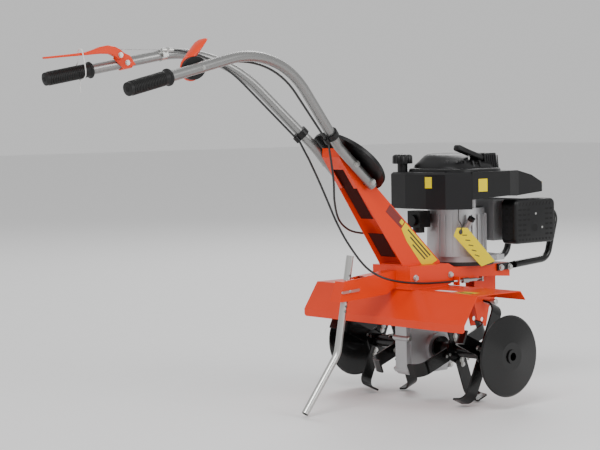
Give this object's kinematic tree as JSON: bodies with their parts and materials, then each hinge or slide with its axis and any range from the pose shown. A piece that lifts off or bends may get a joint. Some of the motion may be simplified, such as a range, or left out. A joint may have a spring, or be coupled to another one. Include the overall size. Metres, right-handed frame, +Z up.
{
  "type": "tiller",
  "caption": "Walk-behind petrol garden tiller with a folded steel column, curved handles, clutch lever, fendered worm-driven tines, depth bar and front bumper.",
  "frame": {"origin": "on the ground under the middle of the tine axle", "axes": "+X the machine's right, +Y forward (away from the handles), +Z up"},
  "size_m": [0.577, 1.451, 0.8921],
  "materials": {
    "orange": "gloss powder coat",
    "black_paint": "gloss paint",
    "frame_black": "satin powder coat",
    "black_plastic": "satin, moulded",
    "tank_plastic": "fine texture",
    "rubber": "ribbed",
    "zinc": "zinc plated",
    "tube_silver": "satin silver",
    "cast": "as cast",
    "steel": "plain",
    "bronze": "machined",
    "cable_black": "smooth sheath",
    "belt_rubber": "cloth backed",
    "tag_card": "printed card"
  },
  "bodies": {
    "frame": {"column": "orange", "column_base": "orange", "deck": "orange", "frame_bolts": "zinc", "front_bracket": "orange", "handle_disc": "black_plastic", "fender": "orange", "depth_arm": "orange", "depth_bar": "zinc", "leg_left": "cast", "leg_right": "cast", "clutch_cable": "cable_black", "throttle_cable": "cable_black", "drive_belt": "belt_rubber", "engine_base": "frame_black", "crankcase": "cast", "cylinder": "cast", "carburettor": "black_plastic", "fuel_tank": "tank_plastic", "shroud": "black_plastic", "starter_cover": "black_plastic", "muffler": "steel", "muffler_guard": "black_plastic", "bumper": "black_paint", "hang_tag": "tag_card"},
    "right_handle": {"right_handle_tube": "tube_silver", "right_grip": "rubber", "right_cable_clamp": "black_plastic", "right_handle_bolts": "zinc", "throttle_housing": "black_plastic", "throttle_cable_upper": "cable_black"},
    "left_handle": {"left_handle_tube": "tube_silver", "left_grip": "rubber", "left_cable_clamp": "black_plastic", "left_handle_bolts": "zinc", "lever_bracket": "black_plastic", "cable_adjuster": "zinc", "clutch_cable_upper": "cable_black"},
    "clutch_lever": {"clutch_lever": "orange"},
    "clutch_wire": {"clutch_wire": "steel"},
    "clutch_link": {"clutch_link": "steel"},
    "idler": {"idler": "steel"},
    "throttle": {"throttle_paddle": "orange"},
    "tines": {"axle": "steel", "worm_wheel": "bronze", "right_inner_tines": "black_paint", "right_outer_tines": "black_paint", "left_inner_tines": "black_paint", "left_outer_tines": "black_paint", "right_side_disc": "black_paint", "left_side_disc": "black_paint", "tine_bolts": "zinc"},
    "worm": {"worm_shaft": "steel", "driven_pulley": "steel"},
    "crank": {"crankshaft": "steel"},
    "recoil": {"recoil_grip": "black_plastic"},
    "fuel_cap": {"fuel_cap": "black_plastic"},
    "dipstick": {"dipstick": "black_plastic"},
    "depth_pin": {"depth_pin": "zinc"},
    "hitch_pin": {"hitch_pin": "zinc"}
  },
  "joints": [
    {"name": "right_handle_tilt", "type": "hinge", "parent": "frame", "child": "right_handle", "pos_m": [0, -0.29424, 0.60324], "axis": [1, 0, 0], "range_deg": [-3.66, 1.34]},
    {"name": "left_handle_tilt", "type": "hinge", "parent": "frame", "child": "left_handle", "pos_m": [0, -0.29424, 0.60324], "axis": [1, 0, 0], "range_deg": [-1.34, 3.66]},
    {"name": "clutch_squeeze", "type": "hinge", "parent": "left_handle", "child": "clutch_lever", "pos_m": [-0.12594, -0.84744, 0.86356], "axis": [0.9954, -0.0962, 0.0019], "range_deg": [0, 8.5], "stiffness_Nm_per_rad": 4, "springref_deg": -11.46},
    {"name": "clutch_wire_pull", "type": "slide", "parent": "left_handle", "child": "clutch_wire", "axis": [-0.0962, -0.9954, -0.0002], "range_m": [0, 0.0026]},
    {"name": "clutch_link_pull", "type": "slide", "parent": "frame", "child": "clutch_link", "axis": [0, -1, 0], "range_m": [0, 0.0026]},
    {"name": "idler_swing", "type": "hinge", "parent": "frame", "child": "idler", "pos_m": [0.049, 0.1, 0.3], "axis": [0, 0, 1], "range_deg": [-4, 0]},
    {"name": "throttle_turn", "type": "hinge", "parent": "right_handle", "child": "throttle", "pos_m": [0.1201, -0.82796, 0.82619], "axis": [0.9954, 0.0962, 0.0019], "range_deg": [-10, 50]},
    {"name": "tine_spin", "type": "hinge", "parent": "frame", "child": "tines", "pos_m": [0, 0, 0.13], "axis": [1, 0, 0], "continuous": true},
    {"name": "worm_spin", "type": "hinge", "parent": "frame", "child": "worm", "pos_m": [0, -0.038, 0.2], "axis": [0, 0, 1], "continuous": true},
    {"name": "crank_spin", "type": "hinge", "parent": "frame", "child": "crank", "pos_m": [0, 0.12, 0.35], "axis": [0, 0, 1], "continuous": true},
    {"name": "recoil_pull", "type": "slide", "parent": "frame", "child": "recoil", "axis": [0, 0, 1], "range_m": [0, 0.05], "stiffness_N_per_m": 40, "springref_m": -0.02},
    {"name": "fuel_cap_lift", "type": "slide", "parent": "frame", "child": "fuel_cap", "axis": [0, 0, 1], "range_m": [0, 0.04]},
    {"name": "dipstick_lift", "type": "slide", "parent": "frame", "child": "dipstick", "axis": [0.5496, 0.0999, 0.8294], "range_m": [0, 0.03]},
    {"name": "depth_pin_pull", "type": "slide", "parent": "frame", "child": "depth_pin", "axis": [1, 0, 0], "range_m": [0, 0.03]},
    {"name": "hitch_pin_pull", "type": "slide", "parent": "frame", "child": "hitch_pin", "axis": [1, 0, 0], "range_m": [0, 0.015], "stiffness_N_per_m": 200, "springref_m": -0.01}
  ],
  "couplings": [
    {"joint": "clutch_wire_pull", "follows": "clutch_squeeze", "m_per_rad": 0.0168},
    {"joint": "clutch_link_pull", "follows": "clutch_squeeze", "m_per_rad": 0.0168},
    {"joint": "idler_swing", "follows": "clutch_squeeze", "ratio": -0.454},
    {"joint": "worm_spin", "follows": "tine_spin", "ratio": 24}
  ]
}
